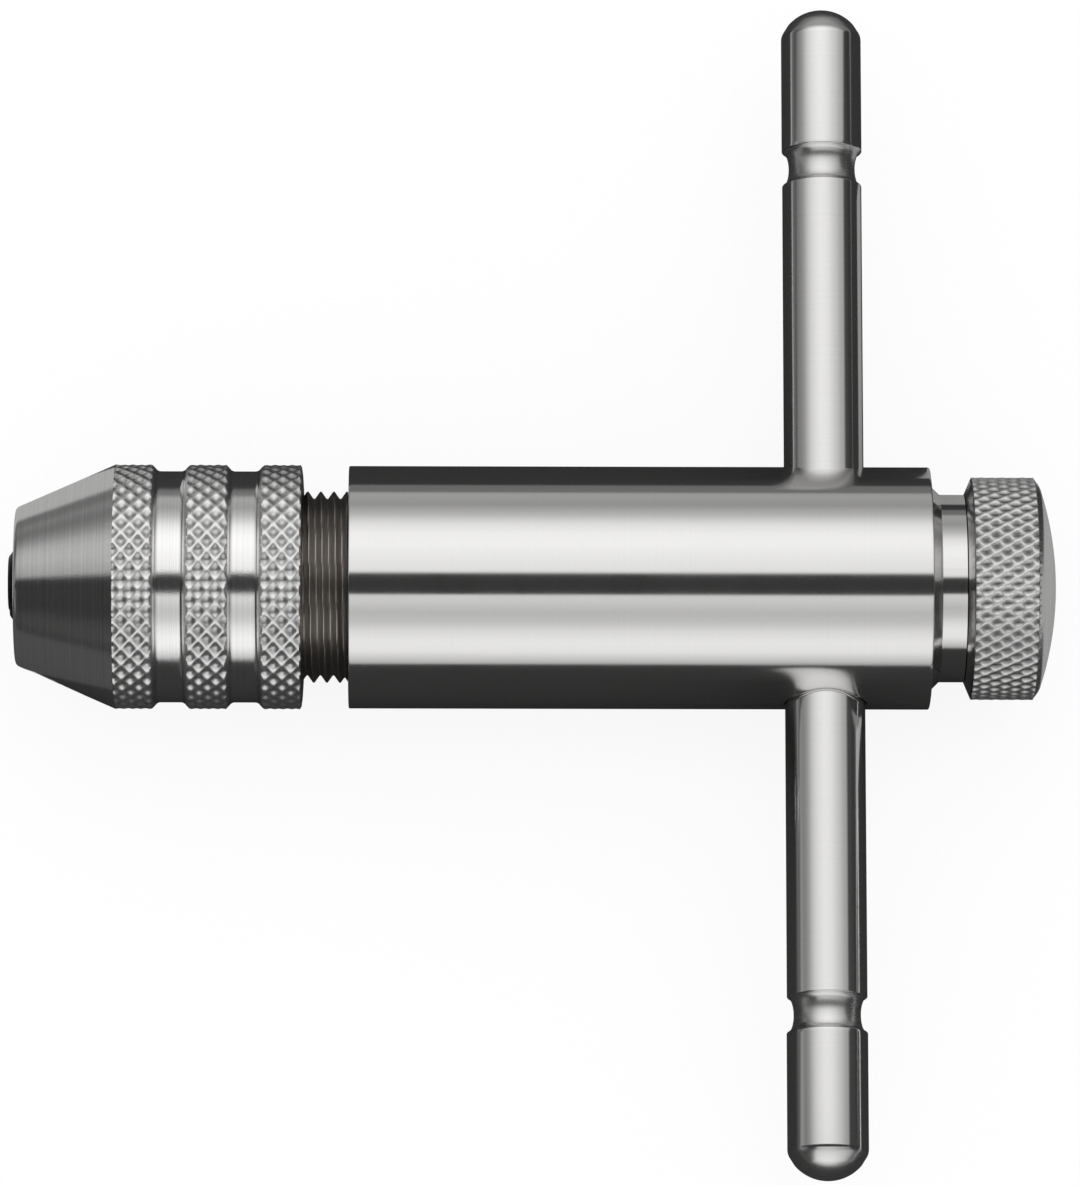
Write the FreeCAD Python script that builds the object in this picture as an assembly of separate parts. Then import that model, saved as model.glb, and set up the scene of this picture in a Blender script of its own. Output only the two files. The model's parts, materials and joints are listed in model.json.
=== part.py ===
import FreeCAD, Part
import math
import os

# A ratchet tap wrench: a two-jaw chuck, a reversible ratchet, and a cross bar that slides.
# Sizes are in millimetres. The tool's axis is X: x = 0 is the face of the chuck's nose and
# +X runs to the knob. The cross bar lies along Y and +Z is up.

# Fits and gaps
running_fit = 0.05
slide_gap = 0.05
seat_gap = 0.05
free_gap = 0.3
locating_fit = 0.01

# Chuck sleeve, outside
nose_radius = 6.36
nose_length = 8.1
sleeve_radius = 9.9
band_count = 3
band_length = 2.95
groove_radius = 9.36
groove_length = 2.05
groove_flank = 0.5
sleeve_end_chamfer = 0.25

# Chuck sleeve, inside
mouth_radius = 4.6
mouth_land = 0.8
sleeve_open_travel = 3.88
sleeve_close_travel = 1.5

# Cone ring in the sleeve's nose
cone_angle = 20.0
ring_front = 4.0
ring_length = 2.4
ring_radius = 7.1
ring_to_jaw = 0.12

# Jaws
jaw_nose_radius = 4.0
jaw_back_offset = 1.3
jaw_width = 5.6
jaw_proud = 0.5
jaw_tip_chamfer = 0.4
jaw_parting = 1.2
grip_radius = 1.75
grip_depth = 11.0
jaw_spring_front_x = 13.4
jaw_spring_rear_x = 16.8
jaw_spring_radius = 1.1
jaw_spring_pocket = 1.8
jaw_spring_wire = 0.18

# Spindle
thread_radius = 7.75
thread_shown = 3.67
fork_front = 3.0
fork_bore_radius = 3.6
fork_bore_depth = 8.6
jaw_slot_rear = 19.0
journal_radius = 5.2
seat_radius = 3.4
seat_flats = 5.8
pilot_radius = 2.0
pilot_length = 2.0
spindle_end = 0.35

# Ratchet wheel, washer and keeper ring
washer_thickness = 0.8
washer_radius = 5.7
wheel_radius = 5.0
wheel_width = 5.6
tooth_count = 12
tooth_depth = 0.85
tooth_root_half = 0.25
tooth_flank_angle = 35.0
keeper_thickness = 0.7
keeper_radius = 4.4
keeper_groove_depth = 0.45
keeper_gap_angle = 40.0

# Body
body_radius = 9.82
body_length = 46.98
body_front_chamfer = 0.2
body_rear_chamfer = 0.15
front_wall = 11.0
body_bore_radius = 7.65

# Pawl, its pin and its plunger
pivot_height = 6.5
pin_radius = 0.55
pin_in_wall = 5.0
hub_radius = 0.95
pawl_inner_radius = 5.35
pawl_side_gap = 0.3
pawl_arm_top = 7.1
pawl_arm_end_y = 3.3
pawl_arm_end_z = 5.2
tip_angle = 30.0
tip_radius = 4.72
tip_half = 0.1
tip_flank_angle = 30.0
tip_length = 1.9
tail_half_width = 2.9
plunger_from_pilot = 1.85
plunger_radius = 1.1
plunger_foot = 3.2
plunger_tip_gap = 0.25
plunger_spring_wire = 0.16
plunger_pocket_foot = 0.6
pawl_tail_beyond = 1.2

# Selector drum and its click ball
drum_boss_radius = 4.9
drum_gap = 0.5
selector_angle = 25.0
click_from_drum_face = 2.8
click_ball_radius = 1.2
click_centre = 6.6
click_track_width = 1.4
click_seat_radius = 0.6
click_seat_depth = 0.2
click_pocket_foot = 1.5
click_spring_wire = 0.16
collar_radius = 8.35
collar_length = 0.75
neck_shown = 2.82

# Cross bar and its detent ball
bar_from_nose = 65.5
bar_radius = 3.24
bar_end_radius = 3.27
bar_hole_fit = 0.06
bar_length = 97.0
bar_groove_centre = 35.1
bar_groove_length = 2.95
bar_groove_radius = 2.7
bar_dome_height = 2.2
bar_rim_width = 0.6
bar_slot_gap = 0.35
detent_ball_radius = 1.5
detent_pocket_length = 6.35
detent_spring_wire = 0.2

# Knob
knob_radius = 9.02
knob_front_chamfer = 0.6
knob_band_length = 5.0
knob_rear_chamfer = 0.5
knob_dome_radius = 8.3
knob_dome_height = 1.35
spigot_radius = 5.0
spigot_length = 4.0

# Springs: the coils follow a line of straight steps, and the wire has flat sides
spring_turns = 4
spring_steps = 10
wire_sides = 6

# Worked out from the sizes above
cone_slope = math.tan(math.radians(cone_angle))
sleeve_length = (nose_length + band_count * band_length
                 + (band_count - 1) * (groove_length + 2 * groove_flank) + sleeve_end_chamfer)
body_front = sleeve_length + thread_shown
body_rear = body_front + body_length
wall_rear = body_front + front_wall
washer_front = wall_rear + seat_gap
wheel_front = washer_front + washer_thickness + seat_gap
wheel_rear = wheel_front + wheel_width
keeper_front = wheel_rear + seat_gap
seat_rear = keeper_front + keeper_thickness + spindle_end
boss_front = seat_rear + free_gap
plunger_x = seat_rear + pilot_length + plunger_from_pilot
pawl_front = wheel_front + pawl_side_gap
pawl_rear = plunger_x + pawl_tail_beyond
drum_front = pawl_rear + drum_gap
click_x = drum_front + click_from_drum_face
drum_radius = body_bore_radius - running_fit
bar_slot_front = bar_from_nose - bar_radius - bar_slot_gap
bar_slot_rear = bar_from_nose + bar_radius + bar_slot_gap
collar_front = body_rear + seat_gap
knob_front = body_rear + neck_shown
ball_x = bar_from_nose - bar_radius - seat_gap - detent_ball_radius


def point(x, y, z):
    return FreeCAD.Vector(x, y, z)


ORIGIN = point(0, 0, 0)
ALONG_X = point(1, 0, 0)
ALONG_Y = point(0, 1, 0)
ALONG_Z = point(0, 0, 1)


def outline_face(items, place):
    """A closed face. Each item is a corner, or a pair (point on the arc, arc's end)."""
    here = place(*items[0])
    edges = []
    for item in list(items[1:]) + [items[0]]:
        if isinstance(item[0], tuple):
            middle = place(*item[0])
            end = place(*item[1])
            edges.append(Part.Arc(here, middle, end).toShape())
        else:
            end = place(*item)
            if end.distanceToPoint(here) > 1e-7:
                edges.append(Part.LineSegment(here, end).toShape())
        here = end
    return Part.Face(Part.Wire(edges))


def turned(items, axis_height=0.0):
    """A turned solid about a line along X. Corners are (x, radius)."""
    face = outline_face(items, lambda x, r: point(x, 0, axis_height + r))
    return face.revolve(point(0, 0, axis_height), ALONG_X, 360)


def prism(items, x_from, x_to):
    """A bar of constant section along X. Corners are (y, z)."""
    face = outline_face(items, lambda y, z: point(x_from, y, z))
    return face.extrude(point(x_to - x_from, 0, 0))


def rod_x(radius, x_from, x_to, y=0.0, z=0.0):
    return Part.makeCylinder(radius, x_to - x_from, point(x_from, y, z), ALONG_X)


def rod_z(radius, x, z_from, z_to):
    return Part.makeCylinder(radius, z_to - z_from, point(x, 0, z_from), ALONG_Z)


def block(low, high):
    size = [b - a for a, b in zip(low, high)]
    return Part.makeBox(size[0], size[1], size[2], point(*low))


def turn_about_x(shape, degrees):
    copy = shape.copy()
    copy.rotate(ORIGIN, ALONG_X, degrees)
    return copy


def on_circle(radius, step, steps):
    """The step's place, of so many, round a circle."""
    angle = 2 * math.pi * step / steps
    return radius * math.cos(angle), radius * math.sin(angle)


def coil_spring(coil_radius, wire_radius, length, base, direction):
    """A coiled spring whose wire lies between its two end planes."""
    middle = coil_radius - wire_radius
    last = spring_turns * spring_steps
    rise = (length - 2 * wire_radius) / last
    path = []
    for step in range(last + 1):
        x, y = on_circle(middle, step, spring_steps)
        path.append(point(x, y, wire_radius + step * rise))
    section = []
    for side in range(wire_sides + 1):
        out, up = on_circle(wire_radius, side, wire_sides)
        section.append(point(middle + out, 0, wire_radius + up))
    # the last argument mitres the corners, so the wire keeps its section
    spring = Part.makePolygon(path).makePipeShell([Part.makePolygon(section)], True, False, 1)
    spring.Placement = FreeCAD.Placement(base, FreeCAD.Rotation(ALONG_Z, direction))
    return spring


def dome(radius, height, foot):
    """A low dome along +X: the part of a ball beyond x = foot. The ball's poles are on Z."""
    ball_radius = (radius ** 2 + height ** 2) / (2 * height)
    ball = Part.makeSphere(ball_radius, point(foot + height - ball_radius, 0, 0))
    return ball.common(rod_x(radius, foot, foot + height))


def ring_cone_radius(x):
    """Radius of the ring's inner cone, and with no gap of the jaws' backs, at x."""
    return jaw_nose_radius + ring_to_jaw + cone_slope * x


def sleeve_outline():
    """The sleeve's outside, from the nose to the end by the body."""
    x = nose_length
    items = [(0, nose_radius), (x, sleeve_radius)]
    for band in range(band_count):
        x += band_length
        items.append((x, sleeve_radius))
        if band < band_count - 1:
            x += groove_flank
            items.append((x, groove_radius))
            x += groove_length
            items.append((x, groove_radius))
            x += groove_flank
            items.append((x, sleeve_radius))
    items.append((sleeve_length, sleeve_radius - sleeve_end_chamfer))
    return items


def chuck_sleeve():
    bore = thread_radius + running_fit
    pocket = ring_radius + running_fit
    pocket_rear = ring_front + ring_length + free_gap
    mouth_at_ring = mouth_radius + cone_slope * (ring_front - mouth_land)
    inside = [
        (sleeve_length, bore),
        (pocket_rear, bore),
        (pocket_rear, pocket),
        (ring_front, pocket),
        (ring_front, mouth_at_ring),
        (mouth_land, mouth_radius),
        (0, mouth_radius),
    ]
    return turned(sleeve_outline() + inside)


def cone_ring():
    """The hard ring that carries the closing cone. It sits in the sleeve's nose."""
    front = ring_front + seat_gap
    rear = ring_front + ring_length
    return turned([
        (front, ring_cone_radius(front)),
        (front, ring_radius),
        (rear, ring_radius),
        (rear, ring_cone_radius(rear)),
    ])


def jaw_back():
    """The jaw's rounded back, turned about a line above the tool's axis."""
    bore = thread_radius + running_fit
    highest = bore - sleeve_open_travel * cone_slope - 2 * slide_gap
    knee = (highest - jaw_nose_radius) / cone_slope
    rear = jaw_slot_rear - slide_gap
    tip = jaw_nose_radius - jaw_back_offset - cone_slope * jaw_proud
    chamfer_end = jaw_tip_chamfer - jaw_proud
    return turned([
        (-jaw_proud, 0),
        (-jaw_proud, tip - jaw_tip_chamfer),
        (chamfer_end, jaw_nose_radius - jaw_back_offset + cone_slope * chamfer_end),
        (knee, highest - jaw_back_offset),
        (rear, highest - jaw_back_offset),
        (rear, 0),
    ], jaw_back_offset)


def grip_groove():
    """The groove that holds the tap: a round bottom with flanks at 45 degrees."""
    side = grip_radius * math.sin(math.radians(45))
    return prism([
        (-2 * side, 0),
        (-side, side),
        ((0, grip_radius), (side, side)),
        (2 * side, 0),
    ], -jaw_proud, grip_depth)


def jaw_upper():
    half = jaw_width / 2
    face = jaw_parting / 2
    low = (-jaw_proud, -half, face)
    high = (jaw_slot_rear, half, body_radius)
    jaw = jaw_back().common(block(low, high)).cut(grip_groove())
    for x in (jaw_spring_front_x, jaw_spring_rear_x):
        jaw = jaw.cut(rod_z(jaw_spring_radius + running_fit, x, 0, face + jaw_spring_pocket))
    return jaw


def jaw_lower():
    """The same jaw, turned half way round the tool's axis."""
    return turn_about_x(jaw_upper(), 180)


def jaw_spring(x):
    reach = jaw_parting / 2 + jaw_spring_pocket - seat_gap
    return coil_spring(jaw_spring_radius, jaw_spring_wire, 2 * reach, point(x, 0, -reach), ALONG_Z)


def spindle_seat():
    """The round seat with two flats that drives the ratchet wheel."""
    half = seat_flats / 2
    seat = rod_x(seat_radius, wall_rear, seat_rear)
    low = (wheel_front, -seat_radius, -half)
    high = (seat_rear, seat_radius, half)
    round_part = rod_x(seat_radius, wall_rear, wheel_front)
    seat = round_part.fuse(seat.common(block(low, high)))
    groove = rod_x(2 * seat_radius, keeper_front - seat_gap, keeper_front + keeper_thickness + seat_gap)
    groove = groove.cut(rod_x(seat_radius - keeper_groove_depth, wall_rear, seat_rear))
    return seat.cut(groove)


def spindle():
    """The screwed spindle: fork for the jaws, thread, journal and seat for the wheel."""
    fork_rear = ring_front + ring_length + sleeve_close_travel + 2 * free_gap
    front_radius = ring_cone_radius(fork_front - sleeve_close_travel) - free_gap
    rear_radius = ring_cone_radius(fork_rear - sleeve_close_travel) - free_gap
    body = turned([
        (fork_front, 0),
        (fork_front, front_radius),
        (fork_rear, rear_radius),
        (fork_rear + thread_radius - rear_radius, thread_radius),
        (body_front - seat_gap, thread_radius),
        (body_front - seat_gap, journal_radius),
        (wall_rear, journal_radius),
        (wall_rear, 0),
    ])
    half_slot = jaw_width / 2 + slide_gap
    slot = block((0, -half_slot, -body_radius), (jaw_slot_rear, half_slot, body_radius))
    bore = rod_x(fork_bore_radius, fork_front, fork_front + fork_bore_depth)
    pilot = rod_x(pilot_radius, seat_rear, seat_rear + pilot_length)
    return body.cut(slot).cut(bore).fuse([spindle_seat(), pilot]).removeSplitter()


def thrust_washer():
    rear = washer_front + washer_thickness
    ring = rod_x(washer_radius, washer_front, rear)
    return ring.cut(rod_x(seat_radius + running_fit, washer_front, rear))


def ratchet_wheel():
    """The wheel with equal-sided teeth, so that the pawl can drive it either way."""
    wheel = rod_x(wheel_radius, wheel_front, wheel_rear)
    root = wheel_radius - tooth_depth
    beyond = 2 * tooth_depth
    spread = tooth_root_half + beyond * math.tan(math.radians(tooth_flank_angle))
    gap = prism([
        (-tooth_root_half, root),
        (tooth_root_half, root),
        (spread, root + beyond),
        (-spread, root + beyond),
    ], wheel_front, wheel_rear)
    for tooth in range(tooth_count):
        wheel = wheel.cut(turn_about_x(gap, tooth * 360 / tooth_count))
    fit = locating_fit
    half = seat_flats / 2 + fit
    bore = rod_x(seat_radius + fit, wheel_front, wheel_rear)
    low = (wheel_front, -wheel_radius, -half)
    high = (wheel_rear, wheel_radius, half)
    return wheel.cut(bore.common(block(low, high)))


def wheel_keeper_ring():
    """The open spring ring in the spindle's last groove."""
    rear = keeper_front + keeper_thickness
    ring = rod_x(keeper_radius, keeper_front, rear)
    ring = ring.cut(rod_x(seat_radius - keeper_groove_depth + running_fit, keeper_front, rear))
    side = 2 * keeper_radius * math.sin(math.radians(keeper_gap_angle / 2))
    drop = 2 * keeper_radius * math.cos(math.radians(keeper_gap_angle / 2))
    return ring.cut(prism([(0, 0), (side, -drop), (-side, -drop)], keeper_front, rear))


def bar_hole():
    """The cross hole in the body, with its broken rims."""
    radius = bar_radius + bar_hole_fit
    hole = Part.makeCylinder(radius, 2 * body_radius, point(bar_from_nose, -body_radius, 0), ALONG_Y)
    start = math.sqrt(body_radius ** 2 - radius ** 2)
    deep = 2 * bar_rim_width
    for side in (-1, 1):
        rim = Part.makeCone(radius, radius + deep, deep, point(bar_from_nose, side * start, 0), ALONG_Y * side)
        hole = hole.fuse(rim)
    return hole


def click_track():
    """The ring groove that the click ball runs in, and its three drilled seats."""
    bottom = click_centre + click_ball_radius + 2 * seat_gap
    half = click_track_width / 2
    track = rod_x(bottom, click_x - half, click_x + half)
    seat = rod_z(click_seat_radius, click_x, -bottom - click_seat_depth, 0)
    seats = [turn_about_x(seat, turn) for turn in (-selector_angle, 0, selector_angle)]
    return track.fuse(seats)


def housing_body():
    """The body that the hand bar drives: front wall, long bore and cross hole."""
    front_bore = journal_radius + running_fit
    shell = turned([
        (body_front, front_bore),
        (body_front, body_radius - body_front_chamfer),
        (body_front + body_front_chamfer, body_radius),
        (body_rear - body_rear_chamfer, body_radius),
        (body_rear, body_radius - body_rear_chamfer),
        (body_rear, body_bore_radius),
        (wall_rear, body_bore_radius),
        (wall_rear, front_bore),
    ])
    pin_hole = rod_x(pin_radius, wall_rear - pin_in_wall, wall_rear, 0, pivot_height)
    return shell.cut(bar_hole()).cut(pin_hole).cut(click_track())


def pawl_pivot_pin():
    return rod_x(pin_radius, wall_rear - pin_in_wall, pawl_rear, 0, pivot_height)


def pawl_arms():
    """The pawl's section above the wheel: a hub and two arms that slope down."""
    arms = [
        (-pawl_arm_end_y, pawl_arm_end_z),
        (-hub_radius / 2, pawl_arm_top),
        (hub_radius / 2, pawl_arm_top),
        (pawl_arm_end_y, pawl_arm_end_z),
        (hub_radius, pawl_inner_radius - hub_radius),
        (-hub_radius, pawl_inner_radius - hub_radius),
    ]
    section = prism(arms, pawl_front, pawl_rear)
    section = section.fuse(rod_x(hub_radius, pawl_front, pawl_rear, 0, pivot_height))
    return section.cut(rod_x(pawl_inner_radius, pawl_front, pawl_rear))


def pawl_tip(side):
    """One wedge that drops into a tooth gap, on the ray at tip_angle from the top."""
    top = tip_radius + tip_length
    spread = tip_half + tip_length * math.tan(math.radians(tip_flank_angle))
    wedge = prism([
        (-tip_half, tip_radius),
        (tip_half, tip_radius),
        (spread, top),
        (-spread, top),
    ], pawl_front, wheel_rear - pawl_side_gap)
    return turn_about_x(wedge, -side * tip_angle)


def ratchet_pawl():
    """The rocking pawl: two tips at the wheel and a tail that reaches the plunger."""
    pawl = pawl_arms()
    limit = tail_half_width
    low = (wheel_rear - pawl_side_gap, -limit, 0)
    tail = pawl.common(block(low, (pawl_rear, limit, body_radius)))
    low = (pawl_front, -body_radius, 0)
    front = pawl.common(block(low, (wheel_rear - pawl_side_gap, body_radius, body_radius)))
    front = front.fuse([pawl_tip(-1), pawl_tip(1)])
    whole = front.fuse(tail).removeSplitter()
    return whole.cut(rod_x(pin_radius + running_fit, pawl_front, pawl_rear, 0, pivot_height))


def pawl_plunger():
    """The round-nosed plunger that the selector swings across the pawl's tail."""
    nose_height = plunger_radius / 2
    top = pawl_inner_radius - plunger_tip_gap
    shoulder = top - nose_height
    nose = dome(plunger_radius, nose_height, shoulder)
    nose.rotate(ORIGIN, ALONG_Y, -90)
    nose.translate(point(plunger_x, 0, 0))
    return rod_z(plunger_radius, plunger_x, plunger_foot, shoulder).fuse(nose)


def pawl_plunger_spring():
    foot = plunger_pocket_foot + seat_gap
    length = plunger_foot - seat_gap - foot
    radius = plunger_radius - running_fit
    return coil_spring(radius, plunger_spring_wire, length, point(plunger_x, 0, foot), ALONG_Z)


def bar_window():
    """Room for the bar in the drum while the drum turns either way."""
    turn = math.radians(selector_angle)
    half = bar_radius + bar_slot_gap
    middle = half / math.cos(turn)
    reach = body_radius
    edge = (half + reach * math.sin(turn)) / math.cos(turn)
    return prism([
        (-reach, edge),
        (0, middle),
        (reach, edge),
        (reach, -edge),
        (0, -middle),
        (-reach, -edge),
    ], bar_slot_front, bar_slot_rear)


def selector_drum():
    """The drum that turns in the body: boss, click pocket, bar window, collar and neck."""
    drum = turned([
        (boss_front, 0),
        (boss_front, drum_boss_radius),
        (drum_front, drum_boss_radius),
        (drum_front, drum_radius),
        (collar_front, drum_radius),
        (collar_front, collar_radius),
        (collar_front + collar_length, drum_radius),
        (knob_front - seat_gap, drum_radius),
        (knob_front - seat_gap, spigot_radius),
        (knob_front + spigot_length, spigot_radius),
        (knob_front + spigot_length, 0),
    ])
    pilot_bore = rod_x(pilot_radius + running_fit, boss_front, seat_rear + pilot_length + free_gap)
    plunger_bore = rod_z(plunger_radius + running_fit, plunger_x, plunger_pocket_foot, drum_boss_radius)
    ball_bore_radius = detent_ball_radius + running_fit
    ball_bore = rod_x(ball_bore_radius, bar_slot_front - detent_pocket_length, bar_slot_front)
    click_bore = rod_z(click_ball_radius + running_fit, click_x, -drum_radius, -click_pocket_foot)
    return drum.cut([pilot_bore, plunger_bore, ball_bore, click_bore, bar_window()])


def bar_detent_ball():
    return Part.makeSphere(detent_ball_radius, point(ball_x, 0, 0))


def bar_detent_spring():
    start = bar_slot_front - detent_pocket_length + seat_gap
    length = ball_x - detent_ball_radius - seat_gap - start
    radius = detent_ball_radius - running_fit
    return coil_spring(radius, detent_spring_wire, length, point(start, 0, 0), ALONG_X)


def selector_click_ball():
    return Part.makeSphere(click_ball_radius, point(click_x, 0, -click_centre))


def selector_click_spring():
    start = click_pocket_foot + seat_gap
    length = click_centre - click_ball_radius - seat_gap - start
    radius = click_ball_radius - running_fit
    return coil_spring(radius, click_spring_wire, length, point(click_x, 0, -start), point(0, 0, -1))


def selector_knob():
    """The domed knob on the drum's spigot. Its middle band is the knurled grip."""
    band_front = knob_front + knob_front_chamfer
    band_rear = band_front + knob_band_length
    dome_front = band_rear + knob_rear_chamfer
    bore = spigot_radius + locating_fit
    bore_end = knob_front + spigot_length + free_gap
    knob = turned([
        (knob_front, bore),
        (knob_front, drum_radius),
        (band_front, knob_radius),
        (band_rear, knob_radius),
        (dome_front, knob_dome_radius),
        (dome_front, 0),
        (bore_end, 0),
        (bore_end, bore),
    ])
    return knob.fuse(dome(knob_dome_radius, knob_dome_height, dome_front))


def cross_bar():
    """The sliding bar: a groove near each end for the detent ball, and domed ends."""
    shoulder = bar_length / 2 - bar_dome_height
    inner = bar_groove_centre - bar_groove_length / 2
    outer = bar_groove_centre + bar_groove_length / 2
    bar = turned([
        (-shoulder, 0),
        (-shoulder, bar_end_radius),
        (-outer, bar_end_radius),
        ((-bar_groove_centre, bar_groove_radius), (-inner, bar_radius)),
        (inner, bar_radius),
        ((bar_groove_centre, bar_groove_radius), (outer, bar_end_radius)),
        (shoulder, bar_end_radius),
        (shoulder, 0),
    ])
    right_dome = dome(bar_end_radius, bar_dome_height, shoulder)
    left_dome = right_dome.mirror(ORIGIN, ALONG_X)
    bar = bar.fuse([left_dome, right_dome])
    bar.rotate(ORIGIN, ALONG_Z, 90)
    bar.translate(point(bar_from_nose, 0, 0))
    return bar


def pieces():
    return {
        "housing_body": housing_body(),
        "pawl_pivot_pin": pawl_pivot_pin(),
        "spindle": spindle(),
        "thrust_washer": thrust_washer(),
        "ratchet_wheel": ratchet_wheel(),
        "wheel_keeper_ring": wheel_keeper_ring(),
        "chuck_sleeve": chuck_sleeve(),
        "cone_ring": cone_ring(),
        "jaw_upper": jaw_upper(),
        "jaw_lower": jaw_lower(),
        "jaw_spring_front": jaw_spring(jaw_spring_front_x),
        "jaw_spring_rear": jaw_spring(jaw_spring_rear_x),
        "ratchet_pawl": ratchet_pawl(),
        "pawl_plunger": pawl_plunger(),
        "pawl_plunger_spring": pawl_plunger_spring(),
        "selector_drum": selector_drum(),
        "selector_knob": selector_knob(),
        "selector_click_ball": selector_click_ball(),
        "selector_click_spring": selector_click_spring(),
        "cross_bar": cross_bar(),
        "bar_detent_ball": bar_detent_ball(),
        "bar_detent_spring": bar_detent_spring(),
    }


os.makedirs("parts", exist_ok=True)
for name, shape in pieces().items():
    shape.exportStep("parts/" + name + ".step")
    box = shape.BoundBox
    print(f"{name}: {len(shape.Solids)} solid, valid {shape.isValid()}, {shape.Volume:.2f} mm3,"
          f" x {box.XMin:.2f} to {box.XMax:.2f}")
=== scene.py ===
# %% [markdown]
# # A ratchet tap wrench, dressed for the camera
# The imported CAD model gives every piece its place. This notebook turns the plain solids into what
# the real tool shows: a finely turned body with a rounded cross hole, knurled grips, a dark screw
# thread and a polished sliding bar. Lengths are in metres. The pieces' ends and outer radii are
# read from the CAD boxes, and smaller sizes are written where they are first needed.

# %% Load the frame
import bmesh
import bpy
import json
import math
import numpy as np
from mathutils import Matrix, Vector

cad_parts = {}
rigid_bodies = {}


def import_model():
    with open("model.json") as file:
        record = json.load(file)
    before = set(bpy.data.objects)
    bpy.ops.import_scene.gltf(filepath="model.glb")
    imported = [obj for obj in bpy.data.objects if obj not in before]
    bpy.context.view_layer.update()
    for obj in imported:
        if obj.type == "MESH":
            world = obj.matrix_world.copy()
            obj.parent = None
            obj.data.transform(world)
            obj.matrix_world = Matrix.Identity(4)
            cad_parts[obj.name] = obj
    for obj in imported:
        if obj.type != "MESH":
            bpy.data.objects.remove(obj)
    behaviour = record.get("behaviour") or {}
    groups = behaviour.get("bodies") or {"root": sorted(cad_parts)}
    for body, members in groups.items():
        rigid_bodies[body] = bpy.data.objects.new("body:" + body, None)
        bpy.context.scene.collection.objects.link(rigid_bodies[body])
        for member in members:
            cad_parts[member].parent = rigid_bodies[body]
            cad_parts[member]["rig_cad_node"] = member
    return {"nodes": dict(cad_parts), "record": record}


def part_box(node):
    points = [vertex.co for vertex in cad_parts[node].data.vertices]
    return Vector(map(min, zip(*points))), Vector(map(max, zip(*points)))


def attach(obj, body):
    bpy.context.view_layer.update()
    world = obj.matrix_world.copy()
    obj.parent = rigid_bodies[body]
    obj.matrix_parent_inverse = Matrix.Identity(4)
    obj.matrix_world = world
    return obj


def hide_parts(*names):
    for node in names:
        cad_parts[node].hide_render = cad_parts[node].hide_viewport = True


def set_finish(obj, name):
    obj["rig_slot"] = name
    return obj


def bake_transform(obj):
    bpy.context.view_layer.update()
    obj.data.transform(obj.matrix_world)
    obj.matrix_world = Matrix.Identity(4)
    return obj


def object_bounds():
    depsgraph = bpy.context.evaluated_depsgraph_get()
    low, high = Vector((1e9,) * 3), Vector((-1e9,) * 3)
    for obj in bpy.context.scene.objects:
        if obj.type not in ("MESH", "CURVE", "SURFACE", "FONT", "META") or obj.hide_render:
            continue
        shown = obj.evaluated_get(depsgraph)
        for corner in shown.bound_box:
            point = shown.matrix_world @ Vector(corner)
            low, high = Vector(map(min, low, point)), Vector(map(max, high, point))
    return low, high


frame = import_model()
cad_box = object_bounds()
MM = 0.001
print("CAD box in mm:", [[round(c / MM, 2) for c in corner] for corner in cad_box])

# %% [markdown]
# ## Places on the tool
# The tool's axis is X, the cross bar lies along Y and +Z is up. A node's box gives its ends along
# X and its radius, so only what the boxes can't tell, such as a groove's place, is written here.

# %% Stations read from the CAD boxes
def span_x(node):
    """Where a CAD node starts and ends along the tool's axis."""
    low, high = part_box(node)
    return low.x, high.x


def radius_of(node):
    """The largest radius of a CAD node that was turned about the tool's axis."""
    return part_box(node)[1].z


sleeve_rear = span_x("chuck_sleeve")[1]
body_front, body_rear = span_x("housing_body")
knob_front, knob_tip = span_x("selector_knob")
sleeve_radius = radius_of("chuck_sleeve")
body_radius = radius_of("housing_body")
knob_radius = radius_of("selector_knob")
bar_low, bar_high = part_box("cross_bar")
bar_x = (bar_low.x + bar_high.x) / 2
bar_end_radius = bar_high.z
bar_half = bar_high.y
print("sleeve ends", round(sleeve_rear / MM, 2), "body", round(body_front / MM, 2),
      "to", round(body_rear / MM, 2), "bar at", round(bar_x / MM, 2))

# %% [markdown]
# ## Turned surfaces
# Everything here was made on a lathe, so most pieces are a profile turned about an axis. A profile
# is a list of stations and radii, taken once round the section so that the turned surface closes.
# A modelling operator could spin a curve, but arrays keep every vertex in one formula and let the
# radius change round the axis, which the knurl and the thread need.

# %% Number the faces of a grid of points
def grid_faces(rows, columns, wrap_rows):
    """Four corners of each cell of a grid, as vertex numbers. The columns always close on
    themselves, and the rows if asked to."""
    i = np.arange(rows if wrap_rows else rows - 1)[:, None]
    j = np.arange(columns)[None, :]
    below, right = (i + 1) % rows, (j + 1) % columns
    corners = [i * columns + j, below * columns + j, below * columns + right, i * columns + right]
    return np.stack(np.broadcast_arrays(*corners), -1).reshape(-1, 4)


def capped(points, start=0):
    """Vertices and faces of a tube of rows that is closed by a flat face at each end."""
    rows, columns = points.shape[:2]
    sides = (grid_faces(rows, columns, wrap_rows=False) + start).tolist()
    first = start + np.arange(columns)
    last = first + (rows - 1) * columns
    return points.reshape(-1, 3), sides + [first.tolist(), last[::-1].tolist()]


# %% Put a piece in the place of CAD nodes
def dress(piece, body, stands_for, finish):
    """Links the piece and ties it to its body if that is a CAD body's name. For a piece that
    stretches between two bodies, body holds both names and the points where it is fixed to each,
    but these are not used: the piece is tied to no body and its place is baked into its mesh."""
    bpy.context.scene.collection.objects.link(piece)
    if isinstance(body, str):
        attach(piece, body)
    else:
        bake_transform(piece)
    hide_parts(*stands_for)
    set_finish(piece, finish)
    print(piece.name, "has", len(piece.data.polygons), "faces")


def shade_smooth(mesh, sharp):
    """Smooth shading but for edges that turn by more than sharp degrees."""
    mesh.polygons.foreach_set("use_smooth", np.ones(len(mesh.polygons), bool))
    mesh.set_sharp_from_angle(angle=math.radians(sharp))


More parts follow.
